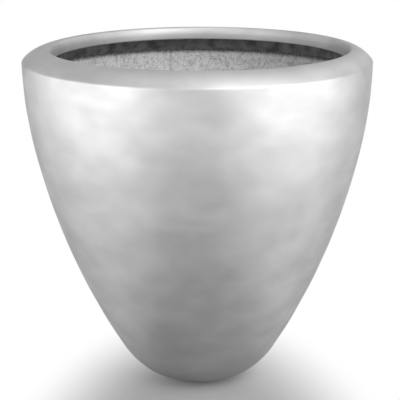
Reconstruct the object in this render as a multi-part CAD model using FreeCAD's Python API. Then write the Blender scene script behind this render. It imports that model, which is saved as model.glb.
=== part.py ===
import FreeCAD, Part
import math
import os

# Round tapered floor planter in hand-laid glass-reinforced polyester: a moulded shell,
# a moulded rim ring bonded over the shell's set-in neck, a lining of lapped strand-mat
# strips, a base patch, a pull-out drain bung and stick-on pads. Millimetres, +Z up.

# Overall sizes
TOP_DIAMETER = 600.0      # outside, at the top of the wall
HEIGHT = 598.0            # floor to the crest of the rim

# Wall curve of the shell
BELLY_DROP = 147.0        # from the top of the wall down to the change of curve
BELLY_INSET = 14.8        # how far the wall has come in at that level
BASE_DIAMETER = 134.0     # flat underside
HEEL_SPREAD = 78.3        # heel's reach outside the flat
HEEL_HEIGHT = 58.0        # heel's height above the flat
SHELL_WALL = 4.0

# Rim ring
RIM_WIDTH = 45.5          # from the outside of the wall in to the mouth
RIM_RISE = 22.5           # from the top of the wall up to the crest
SHOULDER_RADIUS = 6.0
DOME_RADIUS = 55.0
CREST_RADIUS = 5.0
LIP_RADIUS = 30.0         # slow curve from the crest down to the lip
LIP_TURN = 24.0           # degrees that it turns through
LIP_DROP = 4.8            # straight lip below that curve
RIM_WALL = 4.0
SKIRT_DEPTH = 16.0        # skirt that closes over the neck

# Neck of the shell and the bond between it and the skirt
BOND_GAP = 1.6
NECK_SHORT = 2.0          # neck's edge below the top of the wall
JOGGLE_RUN = 8.0          # height over which the wall steps in to the neck

# Strand-mat lining
STRIP_COUNT = 16
STRIP_PHASE = 75.5        # degrees from +X to the first lap
MAT_PLY = 1.6
RESIN_FILM = 0.3          # clearance between one layer and the next
STRIP_BUTT = 0.4          # clearance between neighbouring strips
LAP_WIDTH = 15.0          # lap on the neighbouring strip, at the top
LAP_ROOT = 8.0            # thick edge that the lap grows from, at the top
LINING_SHORT = 2.0        # lining's edge below the joggle
BASE_LAP = 34.0           # base patch's lap above the heel
TONGUE_CLEAR = 1.0        # between the base patch and the strips' laps

# Drain hole and bung
HOLE_DIAMETER = 24.0
BUNG_CLEARANCE = 0.3
BUNG_TAPER = 0.9          # narrowing of the barrel's radius
BUNG_LENGTH = 7.0
BUNG_FLANGE_DIAMETER = 38.0
BUNG_FLANGE = 3.0
BUNG_GRIP_DIAMETER = 16.0
BUNG_GRIP_HEIGHT = 12.0
BUNG_GRIP_WAIST = 2.5     # how far the grip narrows under its head
BUNG_GRIP_DOME = 3.0      # rise of the grip's rounded head

# Pads under the base
PAD_COUNT = 4
PAD_DIAMETER = 20.0
PAD_THICKNESS = 2.5
PAD_CIRCLE = 108.0
PAD_EDGE = 0.8

# Levels and radii that follow from these
TOP_RADIUS = TOP_DIAMETER / 2
BASE_RADIUS = BASE_DIAMETER / 2
HOLE_RADIUS = HOLE_DIAMETER / 2
MOUTH_RADIUS = TOP_RADIUS - RIM_WIDTH
BASE_Z = PAD_THICKNESS
WALL_TOP = HEIGHT - RIM_RISE
LEDGE_Z = WALL_TOP - SKIRT_DEPTH
JOGGLE_Z = LEDGE_Z - JOGGLE_RUN
LINING_TOP = JOGGLE_Z - LINING_SHORT
NECK_RADIUS = TOP_RADIUS - RIM_WALL - BOND_GAP
PLY_1 = SHELL_WALL + RESIN_FILM
PLY_1_IN = PLY_1 + MAT_PLY
PLY_2 = PLY_1_IN + RESIN_FILM
PLY_2_IN = PLY_2 + MAT_PLY
SEAT_Z = BASE_Z + PLY_2_IN

AXIS = FreeCAD.Vector(0, 0, 1)
ORIGIN = FreeCAD.Vector(0, 0, 0)


def at(radius, height):
    """Point of a profile in the plane of X and Z."""
    return FreeCAD.Vector(radius, 0, height)


def line(start, end):
    return Part.LineSegment(start, end).toShape()


def path(points):
    """Straight edges through the points."""
    return [line(a, b) for a, b in zip(points, points[1:])]


def round_edge(centre, radius, start, end):
    """Arc about centre between two angles in radians."""
    turns = [start, (start + end) / 2, end]
    points = [centre + at(math.cos(a), math.sin(a)) * radius for a in turns]
    return Part.Arc(*points).toShape()


def turned(edges, degrees=360.0, first=0.0):
    """Solid turned about the axis from a closed profile, starting at an angle."""
    face = Part.Face(Part.Wire(Part.__sortEdges__(edges)))
    face.rotate(ORIGIN, AXIS, first)
    solid = face.revolve(ORIGIN, AXIS, degrees)
    if solid.Volume < 0:
        solid.reverse()
    return solid


def mirrored(heading, chord):
    """Heading at the other end of an arc with this chord."""
    along = FreeCAD.Vector(chord).normalize()
    return along * (2 * heading.dot(along)) - heading


class WallArc:
    """One arc of the wall's outer curve, taken upwards; layers inside keep its centre."""

    def __init__(self, start, heading, end):
        chord = end - start
        inward = at(-heading.z, heading.x)
        self.reach = chord.dot(chord) / (2 * inward.dot(chord))
        self.centre = start + inward * self.reach
        self.low = self.angle_of(start)
        self.high = self.angle_of(end)

    def angle_of(self, point):
        out = (point - self.centre) * (1 / self.reach)
        return math.atan2(out.z, out.x)

    def angle_at(self, height, depth):
        """Angle where the layer at this depth crosses a level."""
        return math.asin((height - self.centre.z) / (self.reach - depth))

    def point(self, angle, depth):
        return self.centre + at(math.cos(angle), math.sin(angle)) * (self.reach - depth)

    def edge(self, depth, low=None, high=None):
        start = self.low if low is None else low
        end = self.high if high is None else high
        return round_edge(self.centre, self.reach - depth, start, end)


def wall_arcs():
    """Heel (two arcs), lower wall and upper wall, each tangent to the next."""
    top = at(TOP_RADIUS, WALL_TOP)
    belly = at(TOP_RADIUS - BELLY_INSET, WALL_TOP - BELLY_DROP)
    heel = at(BASE_RADIUS + HEEL_SPREAD, BASE_Z + HEEL_HEIGHT)
    base = at(BASE_RADIUS, BASE_Z)
    belly_heading = mirrored(AXIS, top - belly)
    heel_heading = mirrored(belly_heading, belly - heel)
    flat = at(1, 0)
    span = heel - base
    both = flat + heel_heading
    spread = 1 - flat.dot(heel_heading)
    root = math.sqrt(span.dot(both) ** 2 + 2 * spread * span.dot(span))
    arm = (root - span.dot(both)) / (2 * spread)
    joint = (base + flat * arm + heel - heel_heading * arm) * 0.5
    joint_heading = mirrored(flat, joint - base)
    return [
        WallArc(base, flat, joint),
        WallArc(joint, joint_heading, heel),
        WallArc(heel, heel_heading, belly),
        WallArc(belly, belly_heading, top),
    ]


HEEL_LOW, HEEL_HIGH, WALL_LOW, WALL_HIGH = wall_arcs()


def wall_layer(depth_out, depth_in, low, high):
    """Closed profile of a layer of the wall between two levels, both on the straight wall."""
    edges = []
    for depth in (depth_out, depth_in):
        edges.append(WALL_LOW.edge(depth, low=low(depth)))
        edges.append(WALL_HIGH.edge(depth, high=WALL_HIGH.angle_at(high, depth)))
    starts = [WALL_LOW.point(low(d), d) for d in (depth_out, depth_in)]
    ends = [WALL_HIGH.point(WALL_HIGH.angle_at(high, d), d) for d in (depth_out, depth_in)]
    return edges + [line(*starts), line(*ends)]


def body_shell():
    ledge_angle = WALL_HIGH.angle_at(LEDGE_Z, 0)
    joggle_angle = WALL_HIGH.angle_at(JOGGLE_Z, SHELL_WALL)
    neck_in = NECK_RADIUS - SHELL_WALL
    neck_top = WALL_TOP - NECK_SHORT
    edges = path([
        at(BASE_RADIUS, BASE_Z + SHELL_WALL),
        at(HOLE_RADIUS, BASE_Z + SHELL_WALL),
        at(HOLE_RADIUS, BASE_Z),
        at(BASE_RADIUS, BASE_Z),
    ])
    for arc in (HEEL_LOW, HEEL_HIGH, WALL_LOW):
        edges.append(arc.edge(0))
        edges.append(arc.edge(SHELL_WALL))
    edges.append(WALL_HIGH.edge(0, high=ledge_angle))
    edges.append(WALL_HIGH.edge(SHELL_WALL, high=joggle_angle))
    edges += path([
        WALL_HIGH.point(ledge_angle, 0),
        at(NECK_RADIUS, LEDGE_Z),
        at(NECK_RADIUS, neck_top),
        at(neck_in, neck_top),
        at(neck_in, LEDGE_Z),
        WALL_HIGH.point(joggle_angle, SHELL_WALL),
    ])
    return turned(edges)


def rim_ring():
    shoulder = at(TOP_RADIUS - SHOULDER_RADIUS, WALL_TOP)
    tilt = math.radians(LIP_TURN)
    reach = LIP_RADIUS - CREST_RADIUS
    crest = at(MOUTH_RADIUS + LIP_RADIUS - reach * math.cos(tilt), HEIGHT - CREST_RADIUS)
    lip = crest + at(math.cos(tilt), -math.sin(tilt)) * reach
    across = shoulder - crest
    to_shoulder = DOME_RADIUS - SHOULDER_RADIUS
    to_crest = DOME_RADIUS - CREST_RADIUS
    along = (to_crest ** 2 - to_shoulder ** 2 + across.dot(across)) / (2 * across.Length)
    below = math.sqrt(to_crest ** 2 - along ** 2)
    unit = across * (1 / across.Length)
    dome = crest + unit * along + at(unit.z, -unit.x) * below
    shoulder_turn = math.atan2(shoulder.z - dome.z, shoulder.x - dome.x)
    crest_turn = math.atan2(crest.z - dome.z, crest.x - dome.x)
    ledge_angle = WALL_HIGH.angle_at(LEDGE_Z, 0)
    skirt_in = TOP_RADIUS - RIM_WALL
    corner_turn = math.acos((skirt_in - dome.x) / (DOME_RADIUS - RIM_WALL))
    corner = dome + at(math.cos(corner_turn), math.sin(corner_turn)) * (DOME_RADIUS - RIM_WALL)
    lip_z = lip.z - LIP_DROP
    edges = [
        WALL_HIGH.edge(0, low=ledge_angle),
        round_edge(shoulder, SHOULDER_RADIUS, 0, shoulder_turn),
        round_edge(dome, DOME_RADIUS, shoulder_turn, crest_turn),
        round_edge(crest, CREST_RADIUS, crest_turn, math.pi - tilt),
        round_edge(lip, LIP_RADIUS, math.pi - tilt, math.pi),
        round_edge(lip, LIP_RADIUS - RIM_WALL, math.pi - tilt, math.pi),
        round_edge(crest, CREST_RADIUS - RIM_WALL, crest_turn, math.pi - tilt),
        round_edge(dome, DOME_RADIUS - RIM_WALL, corner_turn, crest_turn),
    ]
    edges += path([
        at(MOUTH_RADIUS, lip.z),
        at(MOUTH_RADIUS, lip_z),
        at(MOUTH_RADIUS + RIM_WALL, lip_z),
        at(MOUTH_RADIUS + RIM_WALL, lip.z),
    ])
    edges += path([corner, at(skirt_in, LEDGE_Z), WALL_HIGH.point(ledge_angle, 0)])
    return turned(edges)


def rim_bond():
    inside = NECK_RADIUS + RESIN_FILM
    outside = TOP_RADIUS - RIM_WALL - RESIN_FILM
    top = WALL_TOP - NECK_SHORT
    corners = [at(inside, LEDGE_Z), at(outside, LEDGE_Z), at(outside, top), at(inside, top)]
    return turned(path(corners + corners[:1]))


def mat_strip(number):
    """Strip of the lining with the lap that covers the edge of the next strip."""
    pitch = 360.0 / STRIP_COUNT
    start = STRIP_PHASE + pitch * (number - 1)
    end = start + pitch
    at_heel = BASE_RADIUS + HEEL_SPREAD - PLY_2_IN
    butt = math.degrees(STRIP_BUTT / 2 / at_heel)
    root = math.degrees(LAP_ROOT / TOP_RADIUS)
    lap = math.degrees(LAP_WIDTH / TOP_RADIUS)
    tongue_z = WALL_LOW.point(WALL_LOW.low, 0).z + BASE_LAP + TONGUE_CLEAR

    def from_heel(depth):
        return WALL_LOW.low + STRIP_BUTT / abs(WALL_LOW.reach)

    def from_tongue(depth):
        return WALL_LOW.angle_at(tongue_z, depth)

    sheet = wall_layer(PLY_1, PLY_1_IN, from_heel, LINING_TOP)
    edge = wall_layer(PLY_1, PLY_2_IN, from_tongue, LINING_TOP)
    tongue = wall_layer(PLY_2, PLY_2_IN, from_tongue, LINING_TOP)
    strip = turned(sheet, pitch - 2 * butt, start + butt)
    thick_edge = turned(edge, root - butt, end - root)
    lap_over = turned(tongue, root + lap, end - root)
    return strip.multiFuse([thick_edge, lap_over]).removeSplitter().Solids[0]


def base_mat():
    """Round patch over the base and heel, two plies thick, its skirt lapped on the strips."""
    lap_z = WALL_LOW.point(WALL_LOW.low, 0).z + BASE_LAP
    edges = path([
        at(BASE_RADIUS, BASE_Z + PLY_1),
        at(HOLE_RADIUS, BASE_Z + PLY_1),
        at(HOLE_RADIUS, SEAT_Z),
        at(BASE_RADIUS, SEAT_Z),
    ])
    for depth in (PLY_1, PLY_2_IN):
        edges.append(HEEL_LOW.edge(depth))
        edges.append(HEEL_HIGH.edge(depth))
    for depth in (PLY_2, PLY_2_IN):
        edges.append(WALL_LOW.edge(depth, high=WALL_LOW.angle_at(lap_z, depth)))
    edges.append(line(WALL_LOW.point(WALL_LOW.low, PLY_1), WALL_LOW.point(WALL_LOW.low, PLY_2)))
    tops = [WALL_LOW.point(WALL_LOW.angle_at(lap_z, d), d) for d in (PLY_2, PLY_2_IN)]
    edges.append(line(*tops))
    return turned(edges)


def drain_plug():
    """Rubber bung: tapered barrel, flange that seats on the base patch, waisted grip."""
    barrel = HOLE_RADIUS - BUNG_CLEARANCE
    flange = BUNG_FLANGE_DIAMETER / 2
    grip = BUNG_GRIP_DIAMETER / 2
    flange_z = SEAT_Z + BUNG_FLANGE
    grip_z = flange_z + BUNG_GRIP_HEIGHT
    head_z = grip_z - BUNG_GRIP_DOME
    head_radius = (grip ** 2 + BUNG_GRIP_DOME ** 2) / (2 * BUNG_GRIP_DOME)
    head = at(0, grip_z - head_radius)
    waist = at(grip - BUNG_GRIP_WAIST, (flange_z + head_z) / 2)
    edges = path([
        at(0, grip_z),
        at(0, SEAT_Z - BUNG_LENGTH),
        at(barrel - BUNG_TAPER, SEAT_Z - BUNG_LENGTH),
        at(barrel, SEAT_Z),
        at(flange, SEAT_Z),
        at(flange, SEAT_Z + BUNG_FLANGE / 2),
    ])
    edges.append(round_edge(at(flange - BUNG_FLANGE / 2, SEAT_Z + BUNG_FLANGE / 2),
                            BUNG_FLANGE / 2, 0, math.pi / 2))
    edges.append(line(at(flange - BUNG_FLANGE / 2, flange_z), at(grip, flange_z)))
    edges.append(Part.Arc(at(grip, flange_z), waist, at(grip, head_z)).toShape())
    edges.append(round_edge(head, head_radius, math.acos(grip / head_radius), math.pi / 2))
    return turned(edges)


def foot_pad(number):
    radius = PAD_DIAMETER / 2
    edges = path([
        at(radius - PAD_EDGE, 0),
        at(0, 0),
        at(0, PAD_THICKNESS),
        at(radius, PAD_THICKNESS),
        at(radius, PAD_EDGE),
    ])
    edges.append(round_edge(at(radius - PAD_EDGE, PAD_EDGE), PAD_EDGE, -math.pi / 2, 0))
    pad = turned(edges)
    turn = 2 * math.pi * (number - 0.5) / PAD_COUNT
    pad.translate(FreeCAD.Vector(math.cos(turn), math.sin(turn), 0) * (PAD_CIRCLE / 2))
    return pad


pieces = {
    "body_shell": body_shell(),
    "rim_ring": rim_ring(),
    "rim_bond": rim_bond(),
    "base_mat": base_mat(),
    "drain_plug": drain_plug(),
}
for number in range(1, STRIP_COUNT + 1):
    pieces["mat_strip_%02d" % number] = mat_strip(number)
for number in range(1, PAD_COUNT + 1):
    pieces["foot_pad_%d" % number] = foot_pad(number)

os.makedirs("parts", exist_ok=True)
for name, shape in pieces.items():
    shape.exportStep("parts/%s.step" % name)
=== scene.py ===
import math

import bpy
import mathutils
import numpy as np
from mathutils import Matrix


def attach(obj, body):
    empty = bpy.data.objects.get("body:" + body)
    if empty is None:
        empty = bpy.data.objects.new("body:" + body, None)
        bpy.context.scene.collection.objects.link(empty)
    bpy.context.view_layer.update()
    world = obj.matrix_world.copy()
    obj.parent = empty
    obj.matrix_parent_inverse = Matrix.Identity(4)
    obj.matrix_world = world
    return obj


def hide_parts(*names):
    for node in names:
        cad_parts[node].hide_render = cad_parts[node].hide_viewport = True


# Silver floor planter, built in the order it is made: shell, rim, bond, lining, base patch,
# drain bung and pads, then the studio that it stands in. Metres, +Z up.
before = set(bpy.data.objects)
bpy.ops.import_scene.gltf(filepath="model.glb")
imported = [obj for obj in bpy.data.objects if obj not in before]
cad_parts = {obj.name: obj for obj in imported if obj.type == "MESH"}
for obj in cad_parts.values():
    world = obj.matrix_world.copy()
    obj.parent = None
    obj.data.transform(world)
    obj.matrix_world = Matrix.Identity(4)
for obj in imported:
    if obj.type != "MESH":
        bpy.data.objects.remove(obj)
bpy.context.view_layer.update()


# Shell
# Hand-laid glass-reinforced polyester, laid up in an open mould and sprayed outside with silver
# lacquer. Its wall curves in from a near upright top to a rounded heel; a set-in neck takes the rim.
HEIGHT = 0.598
TOP_RADIUS = 0.3
WALL_TOP = 0.5755
BELLY = np.array([0.2852, 0.4285])
HEEL = np.array([0.1453, 0.0605])
BASE = np.array([0.067, 0.0025])
SHELL_WALL = 0.004
LEDGE_Z = 0.5595
JOGGLE_Z = 0.5515
NECK_RADIUS = 0.2944
NECK_TOP = 0.5735
HOLE_RADIUS = 0.012
COLUMNS = 320
# Points on the underside, the heel's two arcs, the lower wall and the upper wall.
UNDER_ROWS = 14
WALL_ROWS = (UNDER_ROWS, 16, 14, 100, 42)
# The inside takes every third of them; none lies closer to the ledge than the row gap.
INSIDE_STEP = 3
ROW_GAP = 0.0005


def line(start, end, count):
    """Evenly spaced points from start to end."""
    return np.linspace(start, end, count)


def bend(start, heading, end, count):
    """Points and headings of the circular arc that leaves start along heading and runs to end.

    The centre lies on the normal at start, at the squared chord over twice the chord's normal
    part; the arc turns by twice the angle between heading and chord.
    """
    chord = end - start
    normal = np.array([-heading[1], heading[0]])
    centre = start + normal * (chord @ chord) / (2 * normal @ chord)
    turn = 2 * math.atan2(normal @ chord, heading @ chord)
    angle = np.linspace(0, turn, count)[:, None]
    arm = start - centre
    side = np.array([-arm[1], arm[0]])
    points = centre + np.cos(angle) * arm + np.sin(angle) * side
    return points, np.cos(angle) * heading + np.sin(angle) * normal


def mirrored(heading, chord):
    """Heading at the other end of an arc with this chord."""
    along = chord / np.linalg.norm(chord)
    return 2 * (heading @ along) * along - heading


def wall_curve(rows):
    """Outer curve from the drain hole's edge to the top of the wall, with its outward normals.

    A flat underside, then four tangent arcs: two in the heel, meeting midway between equal
    tangent arms, the lower wall and the upper wall. rows gives the points on each part.
    """
    up, flat = np.array([0.0, 1.0]), np.array([1.0, 0.0])
    top = np.array([TOP_RADIUS, WALL_TOP])
    belly_heading = mirrored(up, top - BELLY)
    heel_heading = mirrored(belly_heading, BELLY - HEEL)
    span, both = HEEL - BASE, flat + heel_heading
    spread = 1 - flat @ heel_heading
    arm = (math.sqrt((span @ both) ** 2 + 2 * spread * span @ span) - span @ both) / (2 * spread)
    joint = (BASE + flat * arm + HEEL - heel_heading * arm) / 2
    under = line((HOLE_RADIUS, BASE[1]), BASE, rows[0])
    parts = [
        (under, np.tile(flat, (rows[0], 1))),
        bend(BASE, flat, joint, rows[1]),
        bend(joint, mirrored(flat, joint - BASE), HEEL, rows[2]),
        bend(HEEL, heel_heading, BELLY, rows[3]),
        bend(BELLY, belly_heading, top, rows[4]),
    ]
    points = np.vstack([p[0][1:] if i else p[0] for i, p in enumerate(parts)])
    heading = np.vstack([p[1][1:] if i else p[1] for i, p in enumerate(parts)])
    return points, np.stack([heading[:, 1], -heading[:, 0]], axis=1)


SWELL_RNG = np.random.default_rng(11)
SWELL_WAVES = 60
SWELL_TURN_RANGE = (10, 36)
SWELL_LENGTH_RANGE = (0.04, 0.10)
SWELL_TURNS = SWELL_RNG.integers(*SWELL_TURN_RANGE, SWELL_WAVES)
SWELL_TURNS = SWELL_TURNS * SWELL_RNG.choice([-1, 1], SWELL_WAVES)
SWELL_LENGTH = SWELL_RNG.uniform(*SWELL_LENGTH_RANGE, SWELL_WAVES)
SWELL_PHASE = SWELL_RNG.uniform(0, 2 * math.pi, SWELL_WAVES)
SWELL_SLOPE = 0.0018
SWELL_START = 0.05


def swell(angle, height):
    """How far the hand-rubbed wall stands out, in metres.

    Sum of shallow waves, each with a whole number of turns round the wall and its own length
    up the wall; all have the same steepness, so longer waves stand higher.
    """
    total = np.zeros(np.broadcast(angle, height).shape)
    for turns, length, phase in zip(SWELL_TURNS, SWELL_LENGTH, SWELL_PHASE):
        steep = math.hypot(turns / TOP_RADIUS, 2 * math.pi / length)
        total += np.cos(turns * angle + 2 * math.pi * height / length + phase) / steep
    return SWELL_SLOPE * total


LEAN = -0.0025


def turned(profile, columns, shift=0.0, out=None, amount=0.0):
    """Grid of a profile (radius, height) turned about Z.

    A point at angle a is (radius cos a + shift, radius sin a, height), leaned sideways with
    height; that amount of the wall's swell moves it along out, its outward normal.
    """
    angle = np.linspace(0, 2 * math.pi, columns, endpoint=False)[None, :]
    radius = np.repeat(profile[:, :1], columns, axis=1)
    height = np.repeat(profile[:, 1:], columns, axis=1)
    if out is not None:
        rise = swell(angle, height) * np.reshape(amount, (-1, 1))
        radius = radius + rise * out[:, :1]
        height = height + rise * out[:, 1:]
    x = radius * np.cos(angle) + np.reshape(shift, (-1, 1)) + LEAN * height / HEIGHT
    return np.stack([x, radius * np.sin(angle), height], axis=-1)


def cells(rows, columns, around, along):
    """Corner numbers of the quads of a grid; around and along join its last to its first."""
    index = np.arange(rows * columns).reshape(rows, columns)
    if along:
        index = np.vstack([index, index[:1]])
    if around:
        index = np.hstack([index, index[:, :1]])
    quads = np.stack([index[:-1, :-1], index[:-1, 1:], index[1:, 1:], index[1:, :-1]], axis=-1)
    return quads.reshape(-1, 4)


SHARP_EDGE = math.radians(35)


def piece(name, points, quads, tones=None):
    """Smooth-shaded object from points and quads; tones is a shade for each point."""
    mesh = bpy.data.meshes.new(name)
    mesh.vertices.add(points.size // 3)
    mesh.vertices.foreach_set("co", np.ascontiguousarray(points, dtype=np.float32).ravel())
    mesh.loops.add(quads.size)
    mesh.loops.foreach_set("vertex_index", np.ascontiguousarray(quads, dtype=np.int32).ravel())
    mesh.polygons.add(len(quads))
    mesh.polygons.foreach_set("loop_start", np.arange(0, quads.size, 4, dtype=np.int32))
    mesh.update(calc_edges=True)
    mesh.set_sharp_from_angle(angle=SHARP_EDGE)
    if tones is not None:
        shade = mesh.attributes.new("tone", "FLOAT", "POINT")
        shade.data.foreach_set("value", np.ascontiguousarray(tones, dtype=np.float32).ravel())
    made = bpy.data.objects.new(name, mesh)
    bpy.context.scene.collection.objects.link(made)
    return made


def surface(name, points, around=True, along=False):
    """Object over a grid of points (rows, columns, xyz)."""
    return piece(name, points, cells(*points.shape[:2], around, along))


def linear(code):
    """Linear RGBA of an sRGB hex colour."""
    parts = [int(code[i:i + 2], 16) / 255 for i in (1, 3, 5)]
    return [p / 12.92 if p <= 0.04045 else ((p + 0.055) / 1.055) ** 2.4 for p in parts] + [1.0]


def add_node(owner, kind, inputs=None, **settings):
    """Adds a node; settings are its properties, inputs its sockets: a value or an output to link."""
    tree = owner.node_tree
    node = tree.nodes.new(kind)
    for name, value in settings.items():
        setattr(node, name, value)
    for name, value in (inputs or {}).items():
        if isinstance(value, bpy.types.NodeSocket):
            tree.links.new(value, node.inputs[name])
        else:
            node.inputs[name].default_value = value
    return node


def empty_material(name):
    """Node material without nodes."""
    material = bpy.data.materials.new(name)
    material.use_nodes = True
    material.node_tree.nodes.clear()
    return material


# Silver lacquer: aluminium flake in a satin binder, sprayed and rubbed down by hand. It gives
# broad soft reflections, cloudy patches a few fingers wide and a faint drag along the rubbing.
CLOUD_MM = (70.0, 70.0, 45.0)
STREAK_MM = (70.0, 70.0, 16.0)


def per_metre(sizes):
    """Pattern scales, in repeats to the metre, from sizes in millimetres."""
    return [1000 / size for size in sizes]


LACQUER = empty_material("silver_flake_lacquer")
place = add_node(LACQUER, "ShaderNodeTexCoord").outputs["Object"]
patch = add_node(LACQUER, "ShaderNodeMapping", {"Vector": place, "Scale": per_metre(CLOUD_MM)})
cloud = add_node(LACQUER, "ShaderNodeTexNoise", {
    "Vector": patch.outputs["Vector"], "Scale": 1.0, "Detail": 2.5, "Roughness": 0.5})
drag = add_node(LACQUER, "ShaderNodeMapping", {"Vector": place, "Scale": per_metre(STREAK_MM)})
streak = add_node(LACQUER, "ShaderNodeTexNoise", {
    "Vector": drag.outputs["Vector"], "Scale": 1.0, "Detail": 2.0})
depth = add_node(LACQUER, "ShaderNodeMapRange", {
    "Value": cloud.outputs["Fac"], "From Min": 0.3, "From Max": 0.7})
colour = add_node(LACQUER, "ShaderNodeMix", {
    "Factor": depth.outputs["Result"], "A": linear("#B2B2B2"), "B": linear("#C0C0C0")},
    data_type="RGBA")
rough = add_node(LACQUER, "ShaderNodeMapRange", {
    "Value": streak.outputs["Fac"], "From Min": 0.3, "From Max": 0.7,
    "To Min": 0.53, "To Max": 0.58})
bump = add_node(LACQUER, "ShaderNodeBump", {
    "Height": streak.outputs["Fac"], "Strength": 0.01, "Distance": 0.001})
lacquer_shader = add_node(LACQUER, "ShaderNodeBsdfPrincipled", {
    "Base Color": colour.outputs["Result"], "Metallic": 1.0, "Roughness": rough.outputs["Result"],
    "Specular Tint": (0.38, 0.38, 0.38, 1.0), "Normal": bump.outputs["Normal"]})
add_node(LACQUER, "ShaderNodeOutputMaterial", {"Surface": lacquer_shader.outputs["BSDF"]})

# Raw laminate: cured grey polyester, blotched where the glass under it took up more or less resin.
# Its dark grey is partly painted shade: it darkens the band under the rim's lip, above the lining.
BLOTCH_MM = 20.0
LAMINATE_AND_LIP_SHADE = empty_material("raw_laminate_and_lip_shade")
place = add_node(LAMINATE_AND_LIP_SHADE, "ShaderNodeTexCoord").outputs["Object"]
blotch = add_node(LAMINATE_AND_LIP_SHADE, "ShaderNodeTexNoise", {
    "Vector": place, "Scale": 1000 / BLOTCH_MM, "Detail": 2.0, "Roughness": 0.5})
contrast = add_node(LAMINATE_AND_LIP_SHADE, "ShaderNodeMapRange", {
    "Value": blotch.outputs["Fac"], "From Min": 0.35, "From Max": 0.65})
colour = add_node(LAMINATE_AND_LIP_SHADE, "ShaderNodeMix", {
    "Factor": contrast.outputs["Result"], "A": linear("#505050"), "B": linear("#7C7C7C")},
    data_type="RGBA")
bump = add_node(LAMINATE_AND_LIP_SHADE, "ShaderNodeBump", {
    "Height": blotch.outputs["Fac"], "Strength": 0.5, "Distance": 0.001})
laminate_shader = add_node(LAMINATE_AND_LIP_SHADE, "ShaderNodeBsdfPrincipled", {
    "Base Color": colour.outputs["Result"], "Roughness": 0.6, "Normal": bump.outputs["Normal"]})
add_node(LAMINATE_AND_LIP_SHADE, "ShaderNodeOutputMaterial", {"Surface": laminate_shader.outputs["BSDF"]})

wall, wall_out = wall_curve(WALL_ROWS)
heel_row = UNDER_ROWS - 1
below_ledge = wall[:, 1] < LEDGE_Z - ROW_GAP
ledge_radius = np.interp(LEDGE_Z, wall[:, 1], wall[:, 0])
outer = np.vstack([wall[below_ledge], [(ledge_radius, LEDGE_Z)]])
neck = np.array([
    (NECK_RADIUS, LEDGE_Z), (NECK_RADIUS, NECK_TOP),
    (NECK_RADIUS - SHELL_WALL, NECK_TOP), (NECK_RADIUS - SHELL_WALL, LEDGE_Z)])
inside_wall = wall - SHELL_WALL * wall_out
joggle_radius = np.interp(JOGGLE_Z, inside_wall[heel_row:, 1], inside_wall[heel_row:, 0])
inner = inside_wall[wall[:, 1] < JOGGLE_Z][::-INSIDE_STEP]
profile = np.vstack([outer, neck, [(joggle_radius, JOGGLE_Z)], inner])
out = np.zeros_like(profile)
out[:len(outer)] = np.vstack([wall_out[below_ledge], [(1.0, 0.0)]])
low_fade = np.clip((profile[:, 1] - BASE[1]) / SWELL_START, 0, 1)
shell = surface("planter_shell", turned(profile, COLUMNS, 0.0, out, low_fade), along=True)
shell.data.materials.append(LACQUER)
shell.data.materials.append(LAMINATE_AND_LIP_SHADE)
rows_of_faces = np.arange(len(profile))
lacquered = (rows_of_faces >= heel_row) & (rows_of_faces < len(outer) - 1)
shell.data.polygons.foreach_set("material_index", np.repeat(~lacquered, COLUMNS).astype(np.int32))
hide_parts("body_shell")
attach(shell, "planter")


# Rim
# A ring moulded by itself in the same laminate and bonded over the neck: skirt, tight shoulder,
# domed top, crisp crest and a lip that curves down to the mouth. The joint is filled and lacquered.
MOUTH_RADIUS = 0.2545
SHOULDER_RADIUS = 0.006
DOME_RADIUS = 0.055
CREST_RADIUS = 0.005
LIP_RADIUS = 0.03
LIP_TURN = math.radians(24)
LIP_DROP = 0.0078
LIP_EDGE = 0.001
RIM_WALL = 0.004
MOUTH_SHIFT = 0.0046
# The wall's swell dies out over this share of the rim's width.
SWELL_RIM_SHARE = 0.25


def arc(centre, radius, start, end, count):
    """Points about centre from one angle to another."""
    angle = np.linspace(start, end, count)
    return centre + radius * np.stack([np.cos(angle), np.sin(angle)], axis=1)


def ease(value):
    """Smooth step from 0 to 1."""
    value = np.clip(value, 0, 1)
    return value * value * (3 - 2 * value)


shoulder = np.array([TOP_RADIUS - SHOULDER_RADIUS, WALL_TOP])
lip_reach = LIP_RADIUS - CREST_RADIUS
crest = np.array([MOUTH_RADIUS + LIP_RADIUS - lip_reach * math.cos(LIP_TURN), HEIGHT - CREST_RADIUS])
lip = crest + lip_reach * np.array([math.cos(LIP_TURN), -math.sin(LIP_TURN)])
across_rim = shoulder - crest
rim_gap = np.linalg.norm(across_rim)
to_shoulder, to_crest = DOME_RADIUS - SHOULDER_RADIUS, DOME_RADIUS - CREST_RADIUS
along_rim = (to_crest ** 2 - to_shoulder ** 2 + rim_gap ** 2) / (2 * rim_gap)
unit = across_rim / rim_gap
below_rim = math.sqrt(to_crest ** 2 - along_rim ** 2)
dome = crest + unit * along_rim + np.array([unit[1], -unit[0]]) * below_rim
shoulder_turn = math.atan2(shoulder[1] - dome[1], shoulder[0] - dome[0])
crest_turn = math.atan2(crest[1] - dome[1], crest[0] - dome[0])
skirt_in = TOP_RADIUS - RIM_WALL
corner_turn = math.acos((skirt_in - dome[0]) / (DOME_RADIUS - RIM_WALL))
lip_z = lip[1] - LIP_DROP
lip_in = MOUTH_RADIUS + RIM_WALL

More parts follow.
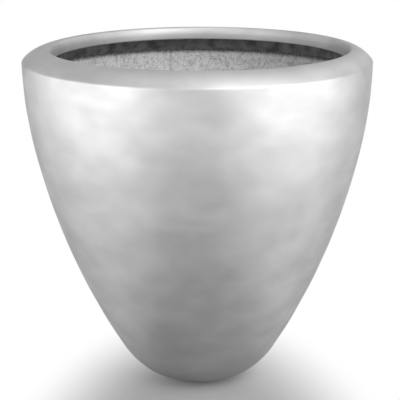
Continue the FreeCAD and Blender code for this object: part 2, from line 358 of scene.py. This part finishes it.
skirt = np.vstack([[(ledge_radius, LEDGE_Z)], wall[wall[:, 1] > LEDGE_Z + ROW_GAP]])
outside = np.vstack([
    skirt,
    arc(shoulder, SHOULDER_RADIUS, 0, shoulder_turn, 12)[1:],
    arc(dome, DOME_RADIUS, shoulder_turn, crest_turn, 20)[1:],
    arc(crest, CREST_RADIUS, crest_turn, math.pi - LIP_TURN, 12)[1:],
    arc(lip, LIP_RADIUS, math.pi - LIP_TURN, math.pi, 12)[1:],
    line((MOUTH_RADIUS, lip[1]), (MOUTH_RADIUS, lip_z + LIP_EDGE), 4)[1:],
    arc((MOUTH_RADIUS + LIP_EDGE, lip_z + LIP_EDGE), LIP_EDGE, math.pi, 1.5 * math.pi, 4)[1:]])
inside = np.vstack([
    [(lip_in, lip_z)],
    arc(lip, LIP_RADIUS - RIM_WALL, math.pi, math.pi - LIP_TURN, 8),
    arc(crest, CREST_RADIUS - RIM_WALL, math.pi - LIP_TURN, crest_turn, 4)[1:],
    arc(dome, DOME_RADIUS - RIM_WALL, crest_turn, corner_turn, 10)[1:],
    [(skirt_in, LEDGE_Z)]])
rim_profile = np.vstack([outside, inside])
inward = np.clip((TOP_RADIUS - rim_profile[:, 0]) / (TOP_RADIUS - MOUTH_RADIUS), 0, 1)
outside_row = np.arange(len(rim_profile)) < len(outside)
rim_out = np.tile((1.0, 0.0), (len(rim_profile), 1))
rim_fade = np.where(outside_row, np.clip(1 - inward / SWELL_RIM_SHARE, 0, 1), 0)
rim_shift = MOUTH_SHIFT * ease(inward)
rim_grid = turned(rim_profile, COLUMNS, rim_shift, rim_out, rim_fade)
rim = surface("planter_rim", rim_grid, along=True)
rim.data.materials.append(LACQUER)
rim.data.materials.append(LAMINATE_AND_LIP_SHADE)
rim.data.polygons.foreach_set("material_index", np.repeat(~outside_row, COLUMNS).astype(np.int32))
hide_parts("rim_ring")
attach(rim, "planter")


# Bond
# Ring of filled polyester paste between the rim's skirt and the shell's neck, spread before the
# rim is pressed on, which then hides it.
BOND_IN, BOND_OUT = 0.2947, 0.2957
SMEAR_MM = 11.0
bond_profile = np.array([
    (BOND_IN, LEDGE_Z), (BOND_OUT, LEDGE_Z), (BOND_OUT, NECK_TOP), (BOND_IN, NECK_TOP)])
PASTE = empty_material("bonding_paste")
place = add_node(PASTE, "ShaderNodeTexCoord").outputs["Object"]
smear = add_node(PASTE, "ShaderNodeTexNoise", {"Vector": place, "Scale": 1000 / SMEAR_MM, "Detail": 3.0})
colour = add_node(PASTE, "ShaderNodeMix", {
    "Factor": smear.outputs["Fac"], "A": linear("#6C6C6C"), "B": linear("#9C9C9C")},
    data_type="RGBA")
paste_shader = add_node(PASTE, "ShaderNodeBsdfPrincipled", {
    "Base Color": colour.outputs["Result"], "Roughness": 0.7})
add_node(PASTE, "ShaderNodeOutputMaterial", {"Surface": paste_shader.outputs["BSDF"]})
bond = surface("rim_bond_ring", turned(bond_profile, COLUMNS), along=True)
bond.data.materials.append(PASTE)
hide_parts("rim_bond")
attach(bond, "planter")


# Lining
# Sixteen upright strips of chopped-strand glass mat, wetted with polyester and rolled on by hand.
# Each laps the edge of the next. Strands stand out of the resin; they are drawn shorter and
# broader than real ones, which are 25 to 50 mm long and under 1 mm wide, so that they show.
STRIPS = 16
STRIP_PHASE = math.radians(75.5)
LINING_TOP = 0.5495
PLY_1, PLY_1_IN, PLY_2, PLY_2_IN = 0.0043, 0.0059, 0.0062, 0.0078
# Angles about Z, in radians: butt joint, root of the lap, lap, and ramp up to it.
BUTT = 0.0014
LAP_ROOT = 0.0267
LAP = 0.05
LAP_RAMP = 0.02
LAP_FOOT_Z = 0.0955
LAP_FOOT = 0.006
STRIP_FOOT_GAP = 0.0006
RAGGED = 0.001
MEAN_RADIUS = 0.25
# Length up the wall over which each strip's top is painted darker, as the shade under the rim's lip.
LIP_SHADE_FADE = 0.010
SEAM = 0.0025
# How dark the painted shade in the gap at each lap is, in turn: some laps are rolled down tighter.
# Each gap's shade is broken.
SEAM_SHADE_DEPTHS = (0.6, 0.2, 0.35, 0.45)
SEAM_CLEAR, SEAM_BREAKS, SEAM_BLUR = 0.7, 0.4, (1.5, 1)
RELIEF = 0.00015
RELIEF_BLUR = (0.8, 0.8)
EDGE_BLUR = (2, 1)
TONE_SPREAD = 0.08
# Edges thin out over these shares of a strip's length and width.
END_TAPER, SIDE_TAPER = 1 / 40, 1 / 12
STRIP_ROWS, STRIP_COLUMNS, BACK_COLUMNS = 150, 46, 5
STRANDS = 1600
STRAND_LENGTH = (0.008, 0.020)
STRAND_WIDTH = (0.0007, 0.0012)
STRAND_FLATNESS = 0.4
STRAND_BOW = 0.12
STRAND_LIFT = 0.0003
STRAND_POINTS, STRAND_SIDES = 5, 3
STRAND_TONES = (0.5, 1.25)
# Strands keep clear of the strips' feet and of the painted shade at their tops.
STRAND_FOOT_MARGIN, STRAND_TOP_MARGIN = 0.012, 0.0105
STRAND_ACROSS = (0.1, 0.93)

wall_run = np.concatenate([[0], np.cumsum(np.linalg.norm(np.diff(wall, axis=0), axis=1))])


def run_at(height):
    """Length along the outer curve, from the drain hole's edge, at a height on the wall."""
    return np.interp(height, wall[heel_row:, 1], wall_run[heel_row:])


def on_wall(angle, run, depth):
    """Points inside the wall: angle about Z, length along the outer curve, depth in from it."""
    radius = np.interp(run, wall_run, wall[:, 0]) - depth * np.interp(run, wall_run, wall_out[:, 0])
    height = np.interp(run, wall_run, wall[:, 1]) - depth * np.interp(run, wall_run, wall_out[:, 1])
    x = radius * np.cos(angle) + LEAN * height / HEIGHT
    return np.stack(np.broadcast_arrays(x, radius * np.sin(angle), height), axis=-1)


def soft_noise(rng, shape, blur):
    """Random field of unit spread on a wrapped grid, blurred over so many cells each way."""
    rows = np.fft.fftfreq(shape[0])[:, None] * blur[0]
    columns = np.fft.rfftfreq(shape[1])[None, :] * blur[1]
    falloff = np.exp(-2 * math.pi ** 2 * (rows ** 2 + columns ** 2))
    spectrum = np.fft.rfft2(rng.normal(size=shape)) * falloff
    field = np.fft.irfft2(spectrum, s=shape)
    return (field - field.mean()) / field.std()


def strands(rng, angle, run, length, depth_at):
    """Points, quads and tones of loose strands that lie on the lining.

    A strand is a three-sided rod with pointed ends along a shallow bow in the surface, centred
    at (angle, run) and turned at random; its ends lift off a little.
    """
    count = len(angle)
    along = np.linspace(-1, 1, STRAND_POINTS)
    turn = rng.uniform(0, math.pi, (count, 1))
    half = length[:, None] / 2
    bow = rng.normal(0, STRAND_BOW, (count, 1)) * half * (1 - along ** 2)
    sideways = np.cos(turn) * half * along - np.sin(turn) * bow
    upward = np.sin(turn) * half * along + np.cos(turn) * bow
    radius = np.interp(run, wall_run, wall[:, 0])[:, None]
    lift = np.abs(rng.normal(0, STRAND_LIFT, (count, 1))) * along ** 2
    a = angle[:, None] + sideways / radius
    r = run[:, None] + upward
    d = depth_at(a, r) + lift
    width = rng.uniform(*STRAND_WIDTH, (count, 1)) * np.sqrt(1 - along ** 2)
    corner = 2 * math.pi * np.arange(STRAND_SIDES) / STRAND_SIDES + math.pi / 2
    flat = width[..., None] * np.cos(corner)
    thick = width[..., None] * STRAND_FLATNESS * np.sin(corner)
    points = on_wall(a[..., None] - np.sin(turn)[..., None] * flat / radius[..., None],
                     r[..., None] + np.cos(turn)[..., None] * flat, d[..., None] + thick)
    first = np.arange(count)[:, None] * STRAND_POINTS * STRAND_SIDES
    rod_cells = cells(STRAND_POINTS, STRAND_SIDES, True, False)[:, ::-1]
    quads = rod_cells.reshape(1, -1, 4) + first[..., None]
    tones = np.repeat(rng.uniform(*STRAND_TONES, count), STRAND_POINTS * STRAND_SIDES)
    return points.reshape(-1, 3), quads.reshape(-1, 4), tones


# Wetted strand mat: clear resin over white glass, so strands read pale and the hollows dark.
# Its glass bundles are under 1 mm wide; the grain is drawn coarser than that, to show.
GRAIN_MM = 3.3
MAT = empty_material("wetted_strand_mat")
tone = add_node(MAT, "ShaderNodeAttribute", attribute_name="tone").outputs["Fac"]
place = add_node(MAT, "ShaderNodeTexCoord").outputs["Object"]
grain = add_node(MAT, "ShaderNodeTexNoise", {"Vector": place, "Scale": 1000 / GRAIN_MM, "Detail": 2.0})
speck = add_node(MAT, "ShaderNodeMapRange", {
    "Value": grain.outputs["Fac"], "From Min": 0.3, "From Max": 0.7, "To Min": -0.28, "To Max": 0.12})
shade = add_node(MAT, "ShaderNodeMath", {0: tone, 1: speck.outputs["Result"]}, operation="ADD",
                 use_clamp=True)
colour = add_node(MAT, "ShaderNodeMix", {
    "Factor": shade.outputs["Value"], "A": linear("#505050"), "B": linear("#FAFAFA")},
    data_type="RGBA")
mat_shader = add_node(MAT, "ShaderNodeBsdfPrincipled", {
    "Base Color": colour.outputs["Result"], "Roughness": 0.55})
add_node(MAT, "ShaderNodeOutputMaterial", {"Surface": mat_shader.outputs["BSDF"]})

mat_rng = np.random.default_rng(23)
strip_pitch = 2 * math.pi / STRIPS
run_low = run_at(HEEL[1]) + STRIP_FOOT_GAP
run_top = run_at(LINING_TOP)
for number in range(STRIPS):
    start = STRIP_PHASE + strip_pitch * number
    end = start + strip_pitch
    share = np.linspace(0, 1, STRIP_ROWS)[:, None]
    across = np.linspace(1, 0, STRIP_COLUMNS)[None, :]
    side_edge = RAGGED / MEAN_RADIUS * soft_noise(mat_rng, (STRIP_ROWS, 1), EDGE_BLUR)
    run = np.repeat(run_low + (run_top - run_low) * share, STRIP_COLUMNS, axis=1)
    height = np.interp(run[:, 0], wall_run, wall[:, 1])[:, None]
    lap = ease((height - LAP_FOOT_Z) / LAP_FOOT)
    last = end - BUTT + lap * (LAP + BUTT + side_edge)
    angle = start + BUTT + (last - start - BUTT) * across
    relief = RELIEF * soft_noise(mat_rng, angle.shape, RELIEF_BLUR)

    def strip_depth(a, r):
        """Depth of the strip's inner face: one ply, and two over the lapped edge."""
        z = np.interp(r, wall_run, wall[:, 1])
        thick = ease((a - end + LAP_ROOT) / LAP_RAMP + 0.5) * ease((z - LAP_FOOT_Z) / LAP_FOOT)
        return PLY_1_IN + thick * (PLY_2_IN - PLY_1_IN)

    from_end = np.minimum(share, 1 - share) / END_TAPER
    from_side = np.minimum(across, 1 - across) / SIDE_TAPER
    edge = np.minimum(from_end, from_side)
    under = np.where(angle < end, PLY_1, PLY_2)
    inner_depth = under + (strip_depth(angle, run) - under) * np.clip(edge * 2, 0, 1)
    inner_depth = inner_depth + relief * np.clip(edge, 0, 1)
    inner_depth[[0, -1]] = under[[0, -1]]
    back = np.tile(np.linspace(start + BUTT, end - BUTT, BACK_COLUMNS), (STRIP_ROWS, 1))
    back_angle = np.hstack([back, np.full((STRIP_ROWS, 1), end - BUTT / 2), last])
    back_run = np.repeat(run[:, :1], back_angle.shape[1], axis=1)
    back_depth = np.tile([PLY_1] * BACK_COLUMNS + [PLY_2] * 2, (STRIP_ROWS, 1))
    grid = np.concatenate([on_wall(angle, run, inner_depth),
                           on_wall(back_angle, back_run, back_depth)], axis=1)
    sheet_tone = 1.0 + TONE_SPREAD * soft_noise(mat_rng, grid.shape[:2], RELIEF_BLUR)
    # Painted shade: a dark, broken line along each lap's edge, where the lap's step shades the strip.
    breaks = soft_noise(mat_rng, (STRIP_ROWS, 1), SEAM_BLUR)
    broken = np.clip(SEAM_CLEAR + SEAM_BREAKS * breaks, 0, 1)
    dark = SEAM_SHADE_DEPTHS[number % len(SEAM_SHADE_DEPTHS)]
    seam_shade = dark * broken * np.exp(-((last - angle) * TOP_RADIUS / SEAM) ** 2)
    sheet_tone[:, :STRIP_COLUMNS] -= seam_shade
    # Painted shade: each strip darkens towards its top, where the rim's lip shades the wall.
    sheet_tone *= ease((run_top - run[:, :1]) / LIP_SHADE_FADE)
    rod_run = mat_rng.uniform(run_low + STRAND_FOOT_MARGIN, run_top - STRAND_TOP_MARGIN, STRANDS)
    rod_angle = start + (end + LAP - start) * mat_rng.uniform(*STRAND_ACROSS, STRANDS)
    rod_length = mat_rng.uniform(*STRAND_LENGTH, STRANDS)
    rods, rod_quads, rod_tones = strands(mat_rng, rod_angle, rod_run, rod_length, strip_depth)
    sheet_quads = cells(*grid.shape[:2], True, False)
    points = np.vstack([grid.reshape(-1, 3), rods])
    quads = np.vstack([sheet_quads, rod_quads + grid.shape[0] * grid.shape[1]])
    strip = piece("lining_strip_%02d" % (number + 1), points, quads,
                  np.concatenate([sheet_tone.ravel(), rod_tones]))
    strip.data.materials.append(MAT)
    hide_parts("mat_strip_%02d" % (number + 1))
    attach(strip, "planter")


# Base patch
# Round patch of the same mat, two plies thick, pressed over the base and heel with its skirt
# lapped up on the strips; the drain hole is cut through it.
PATCH_TOP = 0.0945
PATCH_ROWS = 90
PATCH_STRANDS = 1500
# Shares of the way from the hole to the patch's edge, and of a strip strand's length.
PATCH_STRAND_REACH = (0.2, 0.95)
PATCH_STRAND_CROWDING = 0.7
PATCH_TAPER = 0.03
PATCH_CALM = 0.05
PATCH_STRAND_SHARE = 0.6
PATCH_RELIEF = 0.00025
PATCH_EDGE_BLUR = (1, 2.0)
PATCH_SETBACK = 1.2
PATCH_EDGE_POWER = 8
HOLE_CALM, HOLE_CALM_RAMP = 0.012, 0.006
patch_angle = np.linspace(0, 2 * math.pi, COLUMNS, endpoint=False)[None, :]
patch_share = np.linspace(0, 1, PATCH_ROWS)[:, None]
patch_edge = RAGGED * (soft_noise(mat_rng, (1, COLUMNS), PATCH_EDGE_BLUR) - PATCH_SETBACK)
patch_run = run_at(PATCH_TOP) * patch_share + patch_share ** PATCH_EDGE_POWER * patch_edge
patch_under = np.where(patch_run < run_at(HEEL[1]), PLY_1, PLY_2)
patch_relief = PATCH_RELIEF * soft_noise(mat_rng, patch_run.shape, RELIEF_BLUR)
calm = np.clip((patch_run - HOLE_CALM) / HOLE_CALM_RAMP, 0, 1)
calm = calm * np.clip((1 - patch_share) / PATCH_CALM, 0, 1)
thinned = (PLY_2_IN - patch_under) * ease((patch_share - 1 + PATCH_TAPER) / PATCH_TAPER)
patch_in = PLY_2_IN - thinned + patch_relief * calm
patch_grid = np.concatenate([on_wall(patch_angle, patch_run, patch_under),
                             on_wall(patch_angle, patch_run, patch_in)[::-1]])
patch_tone = 1.0 + TONE_SPREAD * soft_noise(mat_rng, patch_grid.shape[:2], RELIEF_BLUR)


def patch_depth(a, r):
    """Depth of the patch's inner face."""
    return np.full(np.broadcast(a, r).shape, PLY_2_IN)


rod_share = mat_rng.uniform(*PATCH_STRAND_REACH, PATCH_STRANDS) ** PATCH_STRAND_CROWDING
rod_run = run_at(PATCH_TOP) * rod_share
rod_angle = mat_rng.uniform(0, 2 * math.pi, PATCH_STRANDS)
rod_length = mat_rng.uniform(*STRAND_LENGTH, PATCH_STRANDS) * PATCH_STRAND_SHARE
rods, rod_quads, rod_tones = strands(mat_rng, rod_angle, rod_run, rod_length, patch_depth)
patch_quads = cells(*patch_grid.shape[:2], True, True)
base_patch = piece("base_patch", np.vstack([patch_grid.reshape(-1, 3), rods]),
                   np.vstack([patch_quads, rod_quads + patch_grid.shape[0] * COLUMNS]),
                   np.concatenate([patch_tone.ravel(), rod_tones]))
base_patch.data.materials.append(MAT)
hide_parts("base_mat")
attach(base_patch, "planter")


# Drain bung
# Moulded black rubber: a tapered barrel in the drain hole, a flange that seats on the base patch
# and a waisted grip to pull it out by.
SEAT_Z = 0.0103
BARREL_FOOT, BARREL_TOP, BARREL_LENGTH = 0.0108, 0.0117, 0.007
FLANGE_RADIUS, FLANGE = 0.019, 0.003
GRIP_RADIUS, GRIP_WAIST, GRIP_HEIGHT, GRIP_DOME = 0.008, 0.0025, 0.012, 0.003
BUNG_COLUMNS = 64
BLOOM_MM = 5.5
flange_z = SEAT_Z + FLANGE
head_z = flange_z + GRIP_HEIGHT - GRIP_DOME
head_radius = (GRIP_RADIUS ** 2 + GRIP_DOME ** 2) / (2 * GRIP_DOME)
head_centre = (0, flange_z + GRIP_HEIGHT - head_radius)
waist_z = np.linspace(flange_z, head_z, 12)
waist_share = (waist_z - flange_z) / (head_z - flange_z)
waist = np.stack([GRIP_RADIUS - GRIP_WAIST * 4 * waist_share * (1 - waist_share), waist_z], axis=1)
bung_profile = np.vstack([
    line((0, SEAT_Z - BARREL_LENGTH), (BARREL_FOOT, SEAT_Z - BARREL_LENGTH), 4),
    line((BARREL_FOOT, SEAT_Z - BARREL_LENGTH), (BARREL_TOP, SEAT_Z), 5)[1:],
    [(FLANGE_RADIUS, SEAT_Z), (FLANGE_RADIUS, SEAT_Z + FLANGE / 2)],
    arc((FLANGE_RADIUS - FLANGE / 2, SEAT_Z + FLANGE / 2), FLANGE / 2, 0, math.pi / 2, 7)[1:],
    waist,
    arc(head_centre, head_radius, math.acos(GRIP_RADIUS / head_radius), math.pi / 2, 8)[1:]])
RUBBER = empty_material("moulded_black_rubber")
place = add_node(RUBBER, "ShaderNodeTexCoord").outputs["Object"]
bloom = add_node(RUBBER, "ShaderNodeTexNoise", {
    "Vector": place, "Scale": 1000 / BLOOM_MM, "Detail": 3.0})
colour = add_node(RUBBER, "ShaderNodeMix", {
    "Factor": bloom.outputs["Fac"], "A": linear("#1C1C1C"), "B": linear("#343434")},
    data_type="RGBA")
rubber_shader = add_node(RUBBER, "ShaderNodeBsdfPrincipled", {
    "Base Color": colour.outputs["Result"], "Roughness": 0.65})
add_node(RUBBER, "ShaderNodeOutputMaterial", {"Surface": rubber_shader.outputs["BSDF"]})
bung = surface("drain_bung", turned(bung_profile, BUNG_COLUMNS))
bung.data.materials.append(RUBBER)
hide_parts("drain_plug")
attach(bung, "bung")


# Pads
# Four round pads of the same black rubber, with a rounded lower edge, stuck under the flat base
# to keep it off the floor.
PADS = 4
PAD_RADIUS, PAD_THICKNESS, PAD_EDGE, PAD_CIRCLE = 0.01, 0.0025, 0.0008, 0.054
pad_profile = np.vstack([
    line((0, 0), (PAD_RADIUS - PAD_EDGE, 0), 4),
    arc((PAD_RADIUS - PAD_EDGE, PAD_EDGE), PAD_EDGE, -math.pi / 2, 0, 5)[1:],
    line((PAD_RADIUS, PAD_THICKNESS), (0, PAD_THICKNESS), 4)])
for number in range(PADS):
    turn = 2 * math.pi * (number + 0.5) / PADS
    pad_place = np.array([math.cos(turn), math.sin(turn), 0]) * PAD_CIRCLE
    pad = surface("foot_pad_round_%d" % (number + 1), turned(pad_profile, BUNG_COLUMNS) + pad_place)
    pad.data.materials.append(RUBBER)
    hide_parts("foot_pad_%d" % (number + 1))
    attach(pad, "planter")


# Studio
# Pale floor that fades to white away from the planter; its grey round the base is partly the real
# shadow and partly a painted broad shadow. Upright softboxes at its sides and front, a key lamp high
# at the right, weaker lamps behind and above, and a plain pale surround.
FLOOR_HALF = 15.0
FADE_SQUEEZE = (1.7, 0.8, 1.0)
FADE_CENTRE = (0, -0.38, 0)
FADE_START, FADE_END = 0.29, 0.6
SURROUND_FILL, SURROUND_SEEN = 0.05, 0.85


def seen_ray(owner):
    """1 for rays from the camera, off metal and through glass; 0 for the others."""
    rays = add_node(owner, "ShaderNodeLightPath")
    total = add_node(owner, "ShaderNodeMath", {
        0: rays.outputs["Is Camera Ray"], 1: rays.outputs["Is Glossy Ray"]}, operation="ADD")
    total = add_node(owner, "ShaderNodeMath", {
        0: total.outputs["Value"], 1: rays.outputs["Is Transmission Ray"]},
        operation="ADD", use_clamp=True)
    return total.outputs["Value"]


floor_grid = np.array([[(-FLOOR_HALF, -FLOOR_HALF, 0), (FLOOR_HALF, -FLOOR_HALF, 0)],
                       [(-FLOOR_HALF, FLOOR_HALF, 0), (FLOOR_HALF, FLOOR_HALF, 0)]])
floor = surface("studio_floor", floor_grid, around=False)
FLOOR_AND_SHADOW = empty_material("pale_floor_and_painted_shadow")
floor_place = add_node(FLOOR_AND_SHADOW, "ShaderNodeTexCoord").outputs["Object"]
squeezed = add_node(FLOOR_AND_SHADOW, "ShaderNodeVectorMath", {
    0: floor_place, 1: FADE_SQUEEZE}, operation="MULTIPLY")
distance = add_node(FLOOR_AND_SHADOW, "ShaderNodeVectorMath", {
    0: squeezed.outputs["Vector"], 1: FADE_CENTRE}, operation="DISTANCE")
# Painted shadow: near a point before the base the floor shows its grey matt, farther off the white glow,
# so a grey halo lies round the planter.
away = add_node(FLOOR_AND_SHADOW, "ShaderNodeMapRange", {
    "Value": distance.outputs["Value"], "From Min": FADE_START, "From Max": FADE_END},
    interpolation_type="SMOOTHSTEP")
white = add_node(FLOOR_AND_SHADOW, "ShaderNodeMath", {
    0: seen_ray(FLOOR_AND_SHADOW), 1: away.outputs["Result"]}, operation="MULTIPLY")
matt = add_node(FLOOR_AND_SHADOW, "ShaderNodeBsdfDiffuse", {"Color": linear("#B4B4B4")})
glow = add_node(FLOOR_AND_SHADOW, "ShaderNodeEmission", {"Color": (1, 1, 1, 1), "Strength": 1.0})
blend = add_node(FLOOR_AND_SHADOW, "ShaderNodeMixShader", {
    0: white.outputs["Value"], 1: matt.outputs["BSDF"], 2: glow.outputs["Emission"]})
add_node(FLOOR_AND_SHADOW, "ShaderNodeOutputMaterial", {"Surface": blend.outputs["Shader"]})
floor.data.materials.append(FLOOR_AND_SHADOW)


def softbox(name, azimuth, elevation, distance, size, radiance, aim):
    """Area lamp seen from aim at that azimuth (0 is the camera's side) and elevation in degrees.

    A lamp's power is its radiance times pi times its area.
    """
    lamp = bpy.data.lights.new(name, "AREA")
    lamp.shape = "RECTANGLE"
    lamp.size, lamp.size_y = size
    lamp.energy = radiance * math.pi * size[0] * size[1]
    holder = bpy.data.objects.new(name, lamp)
    bpy.context.scene.collection.objects.link(holder)
    a, e = math.radians(azimuth), math.radians(elevation)
    holder.location = (aim[0] + distance * math.sin(a) * math.cos(e),
                       aim[1] - distance * math.cos(a) * math.cos(e),
                       aim[2] + distance * math.sin(e))
    holder.rotation_euler = (math.radians(90) - e, 0, a)
    return holder


softbox("softbox_left", -70, 0, 1.4, (1.6, 0.96), 1.9, (0, 0, 0.48))
softbox("softbox_right", 62, 0, 1.4, (1.6, 0.96), 2.1, (0, 0, 0.48))
softbox("softbox_left_front", -42, 4, 1.6, (0.9, 1.0), 1.95, (0, 0, 0.5))
softbox("softbox_right_front", 35, 12, 1.6, (0.9, 1.2), 1.75, (0, 0, 0.6))
softbox("softbox_key", 38, 42, 1.9, (1.2, 0.9), 4.4, (0, 0, 0.6))
softbox("softbox_right_back", 128, 28, 1.6, (0.8, 0.6), 1.3, (0, 0, 0.6))
softbox("softbox_front", 0, 33, 2.5, (2.4, 1.0), 0.4, (0, 0, 0.55))
softbox("softbox_top", 30, 78, 1.9, (1.4, 1.2), 0.9, (0, 0, 0.5))

world = bpy.data.worlds.new("white_surround")
bpy.context.scene.world = world
world.use_nodes = True
world.node_tree.nodes.clear()
strength = add_node(world, "ShaderNodeMapRange", {
    "Value": seen_ray(world), "To Min": SURROUND_FILL, "To Max": SURROUND_SEEN})
surround = add_node(world, "ShaderNodeBackground", {
    "Color": (1, 1, 1, 1), "Strength": strength.outputs["Result"]})
add_node(world, "ShaderNodeOutputWorld", {"Surface": surround.outputs["Background"]})


# Camera
# At the photograph's view: 1.8 m from the rim's middle, a little above it, pitched down and
# rolled by a tenth of a degree.
FOCAL_PIXELS = 1033.4
FRAME_PIXELS = 400
CAMERA_DISTANCE = 1.8
CAMERA_ELEVATION = math.radians(8.12)
CAMERA_PITCH = math.radians(16.61)
CAMERA_ROLL = math.radians(-0.11)
AXIS_PIXEL = 198.95
camera_data = bpy.data.cameras.new("camera")
camera_data.sensor_width = 36.0
camera_data.lens = FOCAL_PIXELS / FRAME_PIXELS * camera_data.sensor_width
camera_data.clip_end = 50.0
camera = bpy.data.objects.new("camera", camera_data)
bpy.context.scene.collection.objects.link(camera)
camera.location = (0, -CAMERA_DISTANCE * math.cos(CAMERA_ELEVATION),
                   HEIGHT + CAMERA_DISTANCE * math.sin(CAMERA_ELEVATION))
yaw = -math.atan((FRAME_PIXELS / 2 - AXIS_PIXEL) / FOCAL_PIXELS)
level = mathutils.Euler((math.radians(90) - CAMERA_PITCH, 0, yaw)).to_matrix()
camera.rotation_euler = (level @ mathutils.Matrix.Rotation(CAMERA_ROLL, 3, "Z")).to_euler()
bpy.context.scene.camera = camera
bpy.context.scene.view_settings.view_transform = "Standard"
